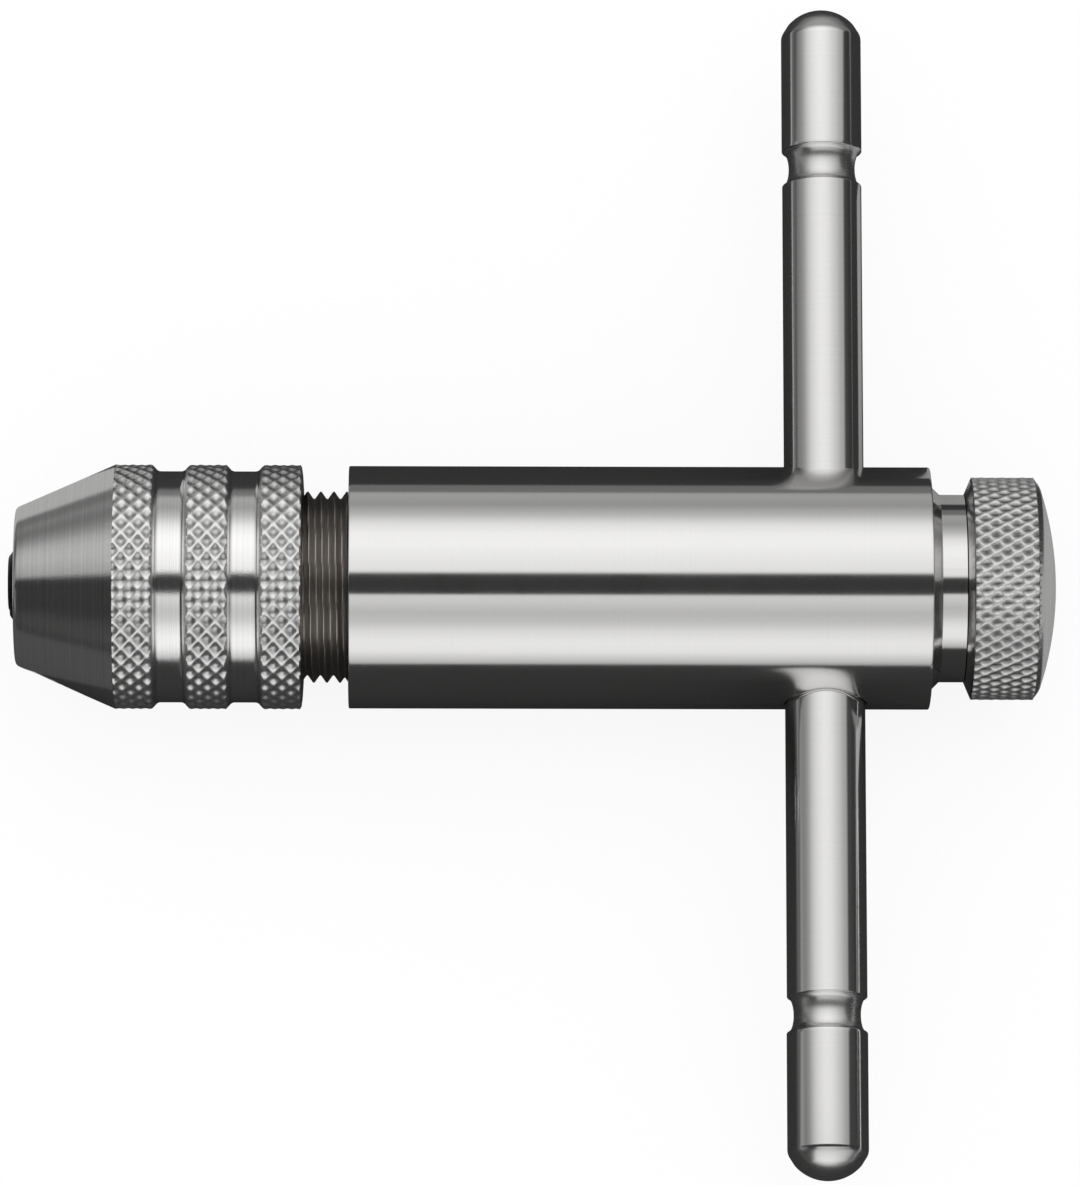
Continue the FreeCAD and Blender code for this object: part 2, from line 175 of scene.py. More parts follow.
def add_mesh(name, vertices, faces, body, stands_for, finish, sharp=30):
    """Makes a piece from arrays."""
    mesh = bpy.data.meshes.new(name)
    mesh.from_pydata(np.asarray(vertices).tolist(), [], list(faces))
    shade_smooth(mesh, sharp)
    dress(bpy.data.objects.new(name, mesh), body, stands_for, finish)


def add_turned(name, points, body, stands_for, finish):
    """A grid that closes on itself both ways: a ring's section carried round the axis."""
    faces = grid_faces(*points.shape[:2], wrap_rows=True)
    add_mesh(name, points.reshape(-1, 3), faces.tolist(), body, stands_for, finish)


# %% Turn a profile about the tool's axis
def turned(x, radius, columns):
    """Point (row i, column j) is (x_i, r_ij sin a_j, r_ij cos a_j): the profile's station i is
    carried round the axis to the angle a_j. The radius may change round the axis as well."""
    angle = np.linspace(0, 2 * np.pi, columns, endpoint=False)
    radius = radius if radius.ndim == 2 else radius[:, None]
    x, radius, angle = np.broadcast_arrays(x[:, None], radius, angle)
    return np.stack([x, radius * np.sin(angle), radius * np.cos(angle)], -1)


def plain(rows, columns):
    """A stretch with no relief, from pairs of a station and a radius."""
    rows = np.array(rows)
    return turned(rows[:, 0], rows[:, 1], columns)


def corner(before, here, after, size, steps=5):
    """A rounded corner: the curve (1 - t)^2 P + 2 t (1 - t) Q + t^2 R leaves the first side at
    the given distance from the corner Q and joins the second side as far behind it."""
    before, here, after = (np.array(p, float) for p in (before, here, after))
    first = here + (before - here) * size / np.linalg.norm(before - here)
    last = here + (after - here) * size / np.linalg.norm(after - here)
    t = np.linspace(0, 1, steps)[:, None]
    return ((1 - t) ** 2 * first + 2 * t * (1 - t) * here + t ** 2 * last).tolist()


# %% [markdown]
# ## Knurled grips
# A knurl is rolled into the steel by two toothed wheels. They leave two crossing sets of ridges
# with a round-bottomed pit in each diamond between them. A bump texture could show it, but a grip
# is seen against the light at its outline, so it is real relief here. The grid has a whole number
# of cells from ridge to ridge, so both sets of ridges run through the corners of its cells.

# %% The knurl's relief
knurl_depth = 0.25 * MM
knurl_land = 0.12


def pits(rows, columns, cells, rise_way, lower, dip):
    """How far each grid point lies in a pit, from 0 on a ridge to 1. The ridges are where
    (j + i) / cells or (j - i) / cells is a whole number. With t the distance from the nearest
    ridge of one set, from 0 to 1, s(t) = sin(pi u / 2), where u runs from 0 at the edge of the
    ridge's land to 1. With p this rise for the sharper wheel's ridges, which climb with i if
    rise_way is 1, and q for the others, the pit is p (w + (1 - w) q) + d q (1 - p): the other
    ridges lie lower by the part w of the depth, and the sharp ones dip by the part d between
    the crossings, which so stand out as points. w and d are lower and dip."""
    def rise(phase):
        u = np.clip((2 * np.abs(phase - np.round(phase)) - knurl_land) / (1 - knurl_land), 0, 1)
        return np.sin(np.pi / 2 * u)

    i, j = np.arange(rows)[:, None], np.arange(columns)[None, :]
    sharp, other = rise((j - rise_way * i) / cells), rise((j + rise_way * i) / cells)
    return sharp * (lower + (1 - lower) * other) + dip * other * (1 - sharp)


def knurled(x, crest, limit, columns, pattern):
    """The rows of a band. Their radius is the crest less the pits, and never above the limit, so
    that the pits run out over a flank."""
    relief = crest - knurl_depth * pits(len(x), columns, **pattern)
    return turned(x, np.minimum(relief, limit[:, None]), columns)


# %% [markdown]
# ## The chuck sleeve
# The sleeve is one turned piece: a nose cone, three knurled bands and two plain grooves between
# them. The rows go out along the outside and back along the bore, where the thread and the cone
# ring sit. Each band could be a ring of its own, but the real sleeve is one bar of steel, and one
# grid has no seams. Rows close beside each edge keep its shading off the long faces.

# %% The sleeve's sizes
nose_radius = 6.36 * MM
nose_length = 8.1 * MM
nose_edge = 0.36 * MM
# The cone's rows stop short of its end by this part, because the first band starts there.
cone_part = 0.995
mouth_radius = 4.6 * MM
mouth_chamfer = 0.2 * MM
mouth_rear = 0.8 * MM
funnel_radius = 5.76 * MM
ring_seat_front = 4.0 * MM
ring_seat_rear = 6.7 * MM
ring_seat_radius = 7.15 * MM
sleeve_bore = 7.8 * MM
bore_chamfer = 0.3 * MM
# Rows of the rear face: how far before the end and how far below the crest they lie.
rear_rows = [(0.14 * MM, 0.2 * MM), (0.06 * MM, 0.8 * MM)]
bands = 3
band_length = 2.95 * MM
band_rows = 30
groove_radius = 9.36 * MM
groove_length = 2.05 * MM
groove_flank = 0.5 * MM
groove_fillet = 0.2 * MM
# What the pattern's words mean is said at pits().
sleeve_ridges = 38
sleeve_knurl = {"cells": 14, "rise_way": -1, "lower": 0.2, "dip": 0.22}
sleeve_columns = sleeve_ridges * sleeve_knurl["cells"]
row_step = band_length / band_rows
print("sleeve has", sleeve_columns, "columns and a row each", round(row_step / MM, 3), "mm")


# %% The sleeve's bands and grooves
def sleeve_band(start, front_flank, rear_flank):
    """One knurled band. The rows go on at the same step over the flanks that it has, where the
    radius falls evenly to the groove."""
    extra = round(groove_flank / row_step)
    count = np.arange(-extra * front_flank, band_rows + extra * rear_flank + 1)
    beyond = np.maximum(0, np.maximum(-count, count - band_rows)) / extra
    limit = sleeve_radius - (sleeve_radius - groove_radius) * beyond
    return knurled(start + count * row_step, sleeve_radius, limit, sleeve_columns, sleeve_knurl)


def groove(start):
    """The plain floor of a groove, with a small fillet at either side."""
    low, high = start + groove_flank, start + groove_flank + groove_length
    rise = groove_radius + groove_fillet
    side = groove_fillet * groove_flank / (sleeve_radius - groove_radius)
    left = corner((low - side, rise), (low, groove_radius), (high, groove_radius), groove_fillet)
    right = corner((low, groove_radius), (high, groove_radius), (high + side, rise), groove_fillet)
    return plain(left[1:] + right[:-1], sleeve_columns)


# %% Build the sleeve row by row
face_end = (0.0, mouth_radius + mouth_chamfer)
cone_end = (nose_length, sleeve_radius)
nose = corner(face_end, (0.0, nose_radius), cone_end, nose_edge, steps=8)
steps = np.linspace(0, cone_part, 12)[1:, None]
cone = np.array(nose[-1]) + (np.array(cone_end) - nose[-1]) * steps
parts = [plain([face_end] + nose + cone.tolist(), sleeve_columns)]
start = nose_length
for number in range(bands):
    is_last = number == bands - 1
    parts.append(sleeve_band(start, number > 0, not is_last))
    if not is_last:
        parts.append(groove(start + band_length))
    start += band_length + groove_length + 2 * groove_flank
rear_face = [(sleeve_rear - back, sleeve_radius - down) for back, down in rear_rows]
rear_face += [(sleeve_rear, sleeve_bore + bore_chamfer), (sleeve_rear - bore_chamfer, sleeve_bore)]
inside = [(ring_seat_rear, sleeve_bore), (ring_seat_rear, ring_seat_radius),
          (ring_seat_front, ring_seat_radius), (ring_seat_front, funnel_radius),
          (mouth_rear, mouth_radius), (mouth_chamfer, mouth_radius)]
parts.append(plain(rear_face + inside, sleeve_columns))
add_turned("chuck_sleeve_turned", np.concatenate(parts), "chuck_sleeve", ["chuck_sleeve"],
           "knurled_steel")

# %% [markdown]
# ## The selector knob
# The knob has the same kind of grip with a longer diamond, between a bevelled front edge and a low
# dome. The dome could be a flattened sphere, but on the real knob it is a part of a large ball, so
# its rows follow a circle's arc.

# %% The knob's sizes
face_radius = 7.6 * MM
face_edge = 0.1 * MM
knob_chamfer = 0.6 * MM
knob_band = 5.0 * MM
knob_rows = 36
# The plain rows beside the grip: how far off its end and how far below its crest they lie.
front_lip = (0.04 * MM, 0.1 * MM)
rear_lip = (0.05 * MM, 0.12 * MM)
dome_foot = 8.3 * MM
dome_height = 1.35 * MM
dome_edge = 0.25 * MM
# How near the dome's rows come to the axis, as a part of the foot's radius, and the radius at
# which the bore's floor meets them.
dome_pole = 0.003
floor_pole = 0.02 * MM
spigot_bore = 5.01 * MM
spigot_depth = 4.3 * MM
knob_ridges = 54
knob_knurl = {"cells": 12, "rise_way": 1, "lower": 0.36, "dip": 0.1}
knob_columns = knob_ridges * knob_knurl["cells"]
grip_front = knob_front + knob_chamfer
grip_rear = grip_front + knob_band
print("knob's grip from", round(grip_front / MM, 2), "to", round(grip_rear / MM, 2))


# %% Build the knob row by row
def dome_rows(tip, foot_radius, height, count):
    """Stations and radii on a ball through the foot and the tip: x = tip - R + sqrt(R^2 - r^2)."""
    ball = (foot_radius ** 2 + height ** 2) / (2 * height)
    r = foot_radius * np.linspace(1, dome_pole, count)
    return np.stack([tip - ball + np.sqrt(ball ** 2 - r ** 2), r], -1)


front = [(knob_front, spigot_bore)]
front += corner((knob_front, spigot_bore), (knob_front, face_radius), (grip_front, knob_radius),
                face_edge, steps=3)
front += [(grip_front - front_lip[0], knob_radius - front_lip[1])]
stations = np.linspace(grip_front, grip_rear, knob_rows + 1)
limit = np.full(len(stations), knob_radius)
grip = knurled(stations, knob_radius, limit, knob_columns, knob_knurl)
dome = dome_rows(knob_tip, dome_foot, dome_height, count=28)
rear = [(grip_rear + rear_lip[0], knob_radius - rear_lip[1])]
rear += corner((grip_rear, knob_radius), dome[0], dome[3], dome_edge) + dome[4:].tolist()
rear += [(knob_front + spigot_depth, floor_pole), (knob_front + spigot_depth, spigot_bore)]
knob_points = [plain(front, knob_columns), grip, plain(rear, knob_columns)]
add_turned("selector_knob_turned", np.concatenate(knob_points), "selector", ["selector_knob"],
           "knurled_steel")

# %% [markdown]
# ## The screwed spindle
# The dark screw between the sleeve and the body is one piece with the fork that guides the jaws.
# A Screw modifier could sweep a tooth along the thread, but its ends would stop dead. Here the
# thread is a radius that falls and rises once in each pitch, shifts by one pitch in each turn and
# runs out at both ends. The fork's two arms are D-shaped, so each row of an arm is an arc closed by
# a straight side.

# %% The thread
thread_radius = 7.75 * MM
thread_depth = 0.6 * MM
thread_flat = 0.1
pitch = 1.06 * MM
fork_front, spindle_end = span_x("spindle")
thread_front = 10.6 * MM
journal_front = body_front - 0.05 * MM
front_run = 0.7 * MM
rear_run = 0.3 * MM
print("thread from", round(thread_front / MM, 2), "to", round(journal_front / MM, 2))


def thread(x, angle, plain_radius):
    """The plain radius less a triangle wave of the phase x / pitch + angle / 2 pi, flat at its
    crests and roots. It runs out at both ends of the thread."""
    phase = x / pitch + angle / (2 * np.pi)
    wave = np.abs(2 * (phase - np.floor(phase)) - 1)
    starts = np.clip((x - thread_front) / front_run, 0, 1)
    ends = np.clip((journal_front - x) / rear_run, 0, 1)
    cut = thread_depth * np.clip((wave - thread_flat) / (1 - 2 * thread_flat), 0, 1)
    return plain_radius - cut * (starts * ends)


# %% The fork's two arms
slot_half = 2.85 * MM
slot_rear = 19.0 * MM
slot_overlap = 0.2 * MM
# The arms' outside: a short cone from tip to thread.
fork_stations = [fork_front, 8.5 * MM, 10.1 * MM]
fork_radii = [4.19 * MM, 6.19 * MM, thread_radius]
tap_bore = 3.6 * MM
tap_bore_rear = 11.6 * MM
arm_steps = 12
arc_points = 72
side_points = 24


def fork_arm(side):
    """Rows along X. The arc keeps |y| at or beyond the slot's side, and the way back follows the
    slot, or the round bore where that is wider."""
    rows = np.arange(fork_stations[1], slot_rear + slot_overlap, pitch / arm_steps)
    x = np.concatenate([[fork_front], rows])
    blank = np.interp(x, fork_stations, fork_radii)[:, None]
    start = np.arcsin(slot_half / blank)
    angle = start + (np.pi - 2 * start) * np.linspace(0, 1, arc_points)
    radius = thread(x[:, None], side * angle, blank)
    arc_y, arc_z = np.maximum(radius * np.sin(angle), slot_half), radius * np.cos(angle)
    way_back = np.linspace(0, 1, side_points + 2)[1:-1]
    back_z = arc_z[:, -1:] + (arc_z[:, :1] - arc_z[:, -1:]) * way_back
    hollow = np.where(x[:, None] < tap_bore_rear, tap_bore, 0)
    back_y = np.maximum(slot_half, np.sqrt(np.maximum(hollow ** 2 - back_z ** 2, 0)))
    y, z = np.hstack([arc_y, back_y]), np.hstack([arc_z, back_z])
    points = np.stack([np.broadcast_to(x[:, None], y.shape), side * y, z], -1)
    return points if side > 0 else points[:, ::-1]


# %% The spindle's round part
core_columns = 160
core_steps = 14
# Stations and radii in mm: the journal, then the seat with the groove of its keeper ring.
journal_mm = [(26.92, 7.4), (26.92, 5.2), (37.97, 5.2), (37.97, 3.4)]
seat_mm = [(38.86, 3.4), (38.88, 3.4), (44.46, 3.4), (44.46, 2.95), (45.28, 2.95), (45.28, 3.4),
           (45.55, 3.4), (45.57, 2.0)]
flats_front = 38.87 * MM
flats_rear = 45.56 * MM
flat_half = 2.9 * MM
pilot_radius = 2.0 * MM
pilot_chamfer = 0.15 * MM


def spindle_core():
    """The full round part: thread, journal, seat with two flats for the wheel, and pilot."""
    x = np.arange(slot_rear, journal_front, pitch / core_steps)
    angle = np.linspace(0, 2 * np.pi, core_columns, endpoint=False)
    screw = turned(x, thread(x[:, None], angle, thread_radius), core_columns)
    pilot = [(spindle_end - pilot_chamfer, pilot_radius),
             (spindle_end, pilot_radius - pilot_chamfer)]
    tail = plain(np.vstack([MM * np.array(journal_mm + seat_mm), pilot]), core_columns)
    flats = (tail[..., 0] > flats_front) & (tail[..., 0] < flats_rear)
    tail[..., 2] = np.where(flats, np.clip(tail[..., 2], -flat_half, flat_half), tail[..., 2])
    return np.concatenate([screw, tail])


vertices, faces = [], []
for points in (fork_arm(1), fork_arm(-1), spindle_core()):
    more_vertices, more_faces = capped(points, sum(map(len, vertices)))
    vertices.append(more_vertices)
    faces += more_faces
add_mesh("spindle_screw", np.concatenate(vertices), faces, "spindle", ["spindle"], "spindle_steel")

# %% [markdown]
# ## The body and its cross hole
# The body is a tube that the sliding bar passes through. The holes' rims are rounded, and a
# polished tube shows every fault in its surface, so a Boolean cut would leave ragged shading. The
# tube is a grid with a square left open round each hole, and a patch of rings leads from the
# square to the hole: over the rim's arc, down the hole's wall and out along the bore.

# %% The body's sizes
bore_radius = 7.65 * MM
front_bore = 5.25 * MM
wall_rear = 37.97 * MM
body_edge = 0.14 * MM
bore_edge = 0.2 * MM
beside_edge = 0.3 * MM
hole_radius = 3.3 * MM
rim_radius = 0.42 * MM
square_half = 5.2 * MM
square_gap = 1.0 * MM
side_cells = 36
plain_cells = 60
tangents = np.tan(np.linspace(-np.pi / 4, np.pi / 4, side_cells + 1))


# %% The body's grid
def body_profile():
    """Rows once round the tube's section. The rows that pass a hole lie at the hole's centre plus
    the square's half width times the tangents. Returns stations, radii and the two first rows."""
    front_inner, front_outer = (body_front, front_bore), (body_front, body_radius)
    rear_outer, rear_inner = (body_rear, body_radius), (body_rear, bore_radius)
    before = np.linspace(body_front + beside_edge, bar_x - square_half - square_gap, 8)
    past = bar_x + square_half * tangents
    outside = [front_inner] + corner(front_inner, front_outer, rear_outer, body_edge)
    outside += [(v, body_radius) for v in before]
    first = len(outside)
    outside += [(v, body_radius) for v in past] + [(body_rear - beside_edge, body_radius)]
    outside += corner(front_outer, rear_outer, rear_inner, body_edge)
    outside += corner(rear_outer, rear_inner, (body_front, bore_radius), bore_edge, steps=3)
    second = len(outside)
    inside = [(v, bore_radius) for v in past[::-1]]
    inside += [(wall_rear, bore_radius), (wall_rear, front_bore)]
    rows = np.array(outside + inside)
    return rows[:, 0], rows[:, 1], first, second


def body_columns(radius):
    """Angles round the tube for each row, so that the columns past a hole keep the heights
    -square_half * tangents at the hole's side, whatever the row's radius is."""
    reach = np.arcsin(square_half * tangents / np.maximum(radius, bore_radius)[:, None])
    part = np.linspace(0, 1, plain_cells + 1)[1:-1]
    gap = (np.pi - 2 * reach[:, -1:]) * part
    right = np.hstack([np.pi / 2 + reach, np.pi / 2 + reach[:, -1:] + gap])
    return np.hstack([right, right + np.pi])


x, radius, first, second = body_profile()
angle = body_columns(radius)
tube = np.stack([np.broadcast_to(x[:, None], angle.shape), radius[:, None] * np.sin(angle),
                 radius[:, None] * np.cos(angle)], -1)
print("tube grid", tube.shape[:2], "with rows past the hole from", first, "and", second)


# %% Number the vertices round an open square
def square_ring(row, column, step):
    """Vertex numbers once round the open square that starts at a row and column. The rows count
    down instead of up if step is negative, as inside, where the profile runs back."""
    n, width = side_cells, tube.shape[1]
    along, back = np.arange(n), np.arange(n, 0, -1)
    rows = np.concatenate([0 * along, along, 0 * along + n, back])
    cols = np.concatenate([along, 0 * along + n, back, 0 * along])
    if step < 0:
        rows = n - rows
    return (row + rows) * width + column + cols


# %% The rings that lead into a hole
outer_rings = 9
rim_rings = 8
wall_rings = 3
inner_rings = 3


def hole_rings(ring, side):
    """Rings from the outer square to the inner one. In the plane through the hole's axis at the
    angle phi, the rim is an arc of radius f that touches the wall at the hole's radius a and the
    tube's surface, which falls there at the slope (a + f) sin^2 phi / sqrt(R^2 - z^2)."""
    offset = tube.reshape(-1, 3)[ring] - [bar_x, 0, 0]
    square = np.hypot(offset[:, 0], offset[:, 2])
    cos, sin = offset[:, 0] / square, offset[:, 2] / square
    a, f = hole_radius, rim_radius
    surface = np.sqrt(body_radius ** 2 - ((a + f) * sin) ** 2)
    fall = np.arctan((a + f) * sin ** 2 / surface)
    centre = surface - f / np.cos(fall)
    touch = a + f + f * np.sin(fall)
    reach = square + (touch - square) * np.linspace(0, 1, outer_rings + 1)[1:, None]
    outer = reach, np.sqrt(body_radius ** 2 - (reach * sin) ** 2)
    part = np.linspace(0, 1, rim_rings + 1)[1:, None]
    turn = (np.pi / 2 - fall) + (np.pi / 2 + fall) * part
    rim = a + f + f * np.cos(turn), centre + f * np.sin(turn)
    bottom = np.sqrt(bore_radius ** 2 - (a * sin) ** 2)
    part = np.linspace(0, 1, wall_rings + 1)[1:, None]
    wall = np.full((wall_rings, len(sin)), a), centre + (bottom - centre) * part
    reach = a + (square - a) * np.linspace(0, 1, inner_rings + 2)[1:-1, None]
    inner = reach, np.sqrt(bore_radius ** 2 - (reach * sin) ** 2)
    rho = np.concatenate([outer[0], rim[0], wall[0], inner[0]])
    depth = np.concatenate([outer[1], rim[1], wall[1], inner[1]])
    return np.stack([bar_x + rho * cos, side * depth, rho * sin], -1)


# %% Join the tube and its two pierced patches
width = tube.shape[1]
cells = grid_faces(*tube.shape[:2], wrap_rows=True)
row, column = cells[:, 0] // width, cells[:, 0] % width
past_hole = column % (width // 2) < side_cells
open_rows = np.zeros(len(cells), bool)
for start in (first, second):
    open_rows |= (row >= start) & (row < start + side_cells)
faces = cells[~(past_hole & open_rows)].tolist()
vertices = [tube.reshape(-1, 3)]
for side, column in ((1, 0), (-1, width // 2)):
    outer = square_ring(first, column, 1)
    rings = hole_rings(outer, side)
    start = sum(map(len, vertices))
    vertices.append(rings.reshape(-1, 3))
    numbers = np.arange(rings.shape[0] * rings.shape[1]).reshape(rings.shape[:2]) + start
    ladder = np.vstack([outer, numbers, square_ring(second, column, -1)])
    corners = ladder[:-1], ladder[1:], np.roll(ladder[1:], -1, 1), np.roll(ladder[:-1], -1, 1)
    faces += np.stack(corners, -1).reshape(-1, 4).tolist()
add_mesh("body_turned", np.concatenate(vertices), faces, "housing", ["housing_body"],
         "turned_steel")

# %% [markdown]
# ## The sliding bar
# The bar is a ground rod with a shallow groove near each end and low domes. It could be a cylinder
# with edge loops slid into the groove's shape, but as a profile it keeps its measured sizes. It
# lies along Y, so the profile is turned about the tool's axis and then laid across.

# %% The bar's sizes
bar_radius = 3.24 * MM
bar_groove = 35.1 * MM
bar_groove_half = 1.475 * MM
bar_groove_radius = 2.7 * MM
bar_groove_edge = 0.05 * MM
beside_groove = 0.06 * MM
groove_fullness = 0.98
bar_dome = 2.2 * MM
bar_dome_edge = 0.3 * MM
bar_columns = 128


# %% Turn the bar and lay it along Y
def bar_profile():
    """One half from the middle out, then both halves. Across the groove, with t from -1 to 1, the
    radius is the rim's less the groove's depth times sqrt(1 - k t^2), where k is the fullness: a
    round floor that still meets the rim at an edge."""
    t = np.linspace(-1, 1, 15)
    y = bar_groove + bar_groove_half * t
    rim = np.linspace(bar_radius, bar_end_radius, len(t))
    dip = rim - (rim - bar_groove_radius) * np.sqrt(1 - groove_fullness * t ** 2)
    dome = dome_rows(bar_half, bar_end_radius, bar_dome, count=24)
    groove_rim, groove_end = (y[0], bar_radius), (y[-1], bar_end_radius)
    shaft = [(v, bar_radius) for v in np.linspace(0, y[0] - beside_groove, 10)]
    shaft += corner((0, bar_radius), groove_rim, (y[1], dip[1]), bar_groove_edge, steps=3)
    end = (bar_half, bar_end_radius)
    cap = corner((y[-2], dip[-2]), groove_end, end, bar_groove_edge, steps=3)
    cap += [(y[-1] + beside_edge, bar_end_radius)]
    cap += corner(groove_end, dome[0], dome[3], bar_dome_edge)
    half = np.array(shaft + list(zip(y[1:-1], dip[1:-1])) + cap + dome[4:].tolist())
    return np.vstack([half[:0:-1] * [-1, 1], half])


points = plain(bar_profile(), bar_columns)
points = np.stack([bar_x - points[..., 1], points[..., 0], points[..., 2]], -1)
add_mesh("cross_bar_ground", *capped(points), "cross_bar", ["cross_bar"], "ground_steel")

# %% [markdown]
# ## The jaws
# The jaws' tips are the only parts of them that show. They could be built anew, but the CAD solid
# already has their shape, so each is a copy of its mesh with the corners broken by a small bevel,
# as a stoned edge is.

# %% Copy the jaws and break their edges
jaw_edge = 0.06 * MM


def broken_copy(node, width, body, finish):
    """A CAD node's mesh with its triangles merged into flat faces, and a live bevel of the given
    width on every edge that turns by more than 35 degrees."""
    mesh = frame["nodes"][node].data.copy()
    work = bmesh.new()
    work.from_mesh(mesh)
    bmesh.ops.remove_doubles(work, verts=work.verts, dist=1e-6)
    bmesh.ops.dissolve_limit(work, angle_limit=math.radians(0.5), verts=work.verts,
                             edges=work.edges)
    work.to_mesh(mesh)
    work.free()
    shade_smooth(mesh, 30)
    piece = bpy.data.objects.new(node + "_stoned", mesh)
    bevel = piece.modifiers.new("edge", "BEVEL")
    bevel.width = width
    bevel.segments = 2
    bevel.limit_method = "ANGLE"
    bevel.angle_limit = math.radians(35)
    dress(piece, body, [node], finish)


for node in ("jaw_upper", "jaw_lower"):
    broken_copy(node, jaw_edge, node, "jaw_steel")

# %% [markdown]
# ## The springs
# Five small coil springs push the jaws, the pawl's plunger, the click ball and the bar's ball. In
# the CAD model their wire has flat sides. A curve with a round bevel could be the wire. Here it is
# a circle carried along a helix, so that both of its ends are points that the script knows. A real
# spring stays on its seat at one end and follows what it pushes at the other, so it stretches
# between two bodies; here each one is wound in place and tied to neither. A jaw spring pushes a
# jaw at each end, so it is wound as two halves that meet in the middle of the spindle's fork.

# %% Wind the springs
spring_turns = 4
steps_a_turn = 40
wire_sides = 12
jaw_wire = 0.18 * MM


def coil(name, node, axis, wire, seat, tip, fixed_to, pushes):
    """Point (i, j) is C(u_i) + w (cos v_j e - sin v_j b): C is the helix through the node's box,
    with u from seat to tip, where 0 is its low end and 1 its high end. e points out from its axis,
    and b is square to e and to the wire. The minus sign turns the faces outwards."""
    low, high = (np.array(corner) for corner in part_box(node))
    middle, length = (low + high) / 2, high[axis] - low[axis]
    across = [n for n in range(3) if n != axis]
    reach = (high - low)[across[0]] / 2 - wire
    u = np.linspace(seat, tip, round(spring_turns * steps_a_turn * abs(tip - seat)) + 1)
    turn = 2 * np.pi * spring_turns * u
    out = np.zeros((len(u), 3))
    out[:, across[0]], out[:, across[1]] = np.cos(turn), np.sin(turn)
    path = middle + reach * out
    path[:, axis] = low[axis] + wire + (length - 2 * wire) * u
    along = np.gradient(path, axis=0)
    up = np.cross(along / np.linalg.norm(along, axis=1)[:, None], out)
    v = np.linspace(0, 2 * np.pi, wire_sides, endpoint=False)[:, None]
    points = path[:, None] + wire * (np.cos(v) * out[:, None] - np.sin(v) * up[:, None])
    ends = np.stack([middle, middle])
    ends[:, axis] = path[[0, -1], axis]
    body = (fixed_to, pushes, *ends.tolist())
    add_mesh(name, *capped(points), body, [node], "spring_steel", sharp=60)


for node in ("jaw_spring_front", "jaw_spring_rear"):
    coil(node + "_wound_up", node, 2, jaw_wire, 0.5, 1, "spindle", "jaw_upper")
    coil(node + "_wound_down", node, 2, jaw_wire, 0.5, 0, "spindle", "jaw_lower")
for node, axis, wire, seat, tip, pushes in (
        ("pawl_plunger_spring", 2, 0.16, 0, 1, "pawl_plunger"),
        ("selector_click_spring", 2, 0.16, 1, 0, "click_ball"),
        ("bar_detent_spring", 0, 0.2, 0, 1, "detent_ball")):
    coil(node + "_wound", node, axis, wire * MM, seat, tip, "selector", pushes)

# %% [markdown]
# ## Shader arithmetic
# The finishes are written as sums and products of patterns. Nodes could be added one by one, but a
# socket that answers to + and * keeps the sums readable: each operator adds the matching Math or
# Vector Math node.

# %% A socket that can be calculated with
class Socket:
    """One output of a shader node."""

    def __init__(self, tree, output):
        self.tree, self.output = tree, output

    def node(self, kind, settings=(), inputs=(), output=0):
        """Adds a node: its settings first, because they may change its sockets, then its inputs.
        A ramp's stops are pairs of a place from 0 to 1 and a grey."""
        made = self.tree.nodes.new(kind)
        for name, value in dict(settings).items():
            if name == "stops":
                self.set_stops(made.color_ramp.elements, value)
            else:
                setattr(made, name, value)
        for name, value in dict(inputs).items():
            if isinstance(value, Socket):
                self.tree.links.new(value.output, made.inputs[name])
            else:
                made.inputs[name].default_value = value
        return Socket(self.tree, made.outputs[output])

    @staticmethod
    def set_stops(elements, stops):
        """Adds the inner stops to the two that a new ramp has, then gives each its grey."""
        for place, _ in stops[1:-1]:
            elements.new(place)
        elements[0].position, elements[-1].position = stops[0][0], stops[-1][0]
        for element, (_, grey) in zip(elements, stops):
            element.color = (grey, grey, grey, 1)

    def calculate(self, operation, first, second):
        """A Vector Math node if either value is a vector, and a Math node otherwise."""
        values = [v for v in (first, second) if isinstance(v, Socket)]
        is_vector = any(v.output.type == "VECTOR" for v in values)
        kind = "ShaderNodeVectorMath" if is_vector else "ShaderNodeMath"
        return self.node(kind, {"operation": operation}, {0: first, 1: second})

    def __add__(self, other):
        return self.calculate("ADD", self, other)

    def __radd__(self, other):
        return self.calculate("ADD", other, self)

    def __sub__(self, other):
        return self.calculate("SUBTRACT", self, other)

    def __rsub__(self, other):
        return self.calculate("SUBTRACT", other, self)

    def __mul__(self, other):
        return self.calculate("MULTIPLY", self, other)

    def __rmul__(self, other):
        return self.calculate("MULTIPLY", other, self)

    def __truediv__(self, other):
        return self.calculate("DIVIDE", self, other)

    def __rtruediv__(self, other):
        return self.calculate("DIVIDE", other, self)

    def maths(self, operation, *others):
        """A Math node for what has no operator, such as ABSOLUTE."""
        values = dict(enumerate((self, *others)))
        return self.node("ShaderNodeMath", {"operation": operation}, values)

    def part(self, axis):
        """One coordinate of a vector: 0 is X, 1 is Y and 2 is Z."""
        return self.node("ShaderNodeSeparateXYZ", (), {"Vector": self}, axis)

    def ramp(self, low, high, first, last):
        """Linear from first at low to last at high, and level beyond both."""
        return self.node("ShaderNodeMapRange", (), {
            "Value": self, "From Min": low, "From Max": high, "To Min": first, "To Max": last})

    def blend(self, first, second):
        """The colour first where this is 0 and second where it is 1."""
        return self.node("ShaderNodeMix", {"data_type": "RGBA"}, {0: self, 6: first, 7: second}, 2)

    def noise(self, scale, detail, roughness=0.6):
        """A noise pattern that reads its place from this vector."""
        return self.node("ShaderNodeTexNoise", (), {
            "Vector": self, "Scale": scale, "Detail": detail, "Roughness": roughness})
